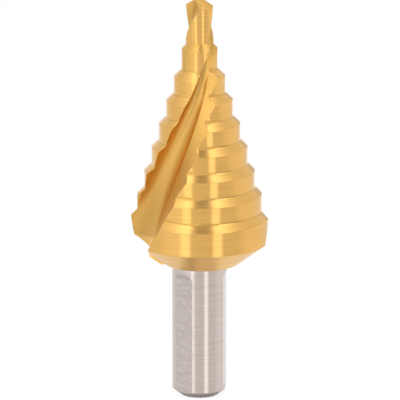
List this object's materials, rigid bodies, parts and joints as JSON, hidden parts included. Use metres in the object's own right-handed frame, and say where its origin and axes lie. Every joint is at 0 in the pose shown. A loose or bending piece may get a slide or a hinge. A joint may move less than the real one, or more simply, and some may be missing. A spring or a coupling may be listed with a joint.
{
  "type": "step drill",
  "caption": "Stepped cone drill bit with spiral flutes, a small drill point and a three-flat round shank, for opening holes in sheet metal.",
  "frame": {"origin": "centre of the shank's end face", "axes": "+Z along the drill's axis from the shank's end to the point, -Y is the front that shows a flute rising from lower left to upper right"},
  "size_m": [0.0198, 0.0194, 0.0592],
  "materials": {
    "coated_steel": "ground, gold nitride coating on the head, bare steel shank"
  },
  "bodies": {
    "root": {"step_drill": "coated_steel"}
  },
  "joints": []
}
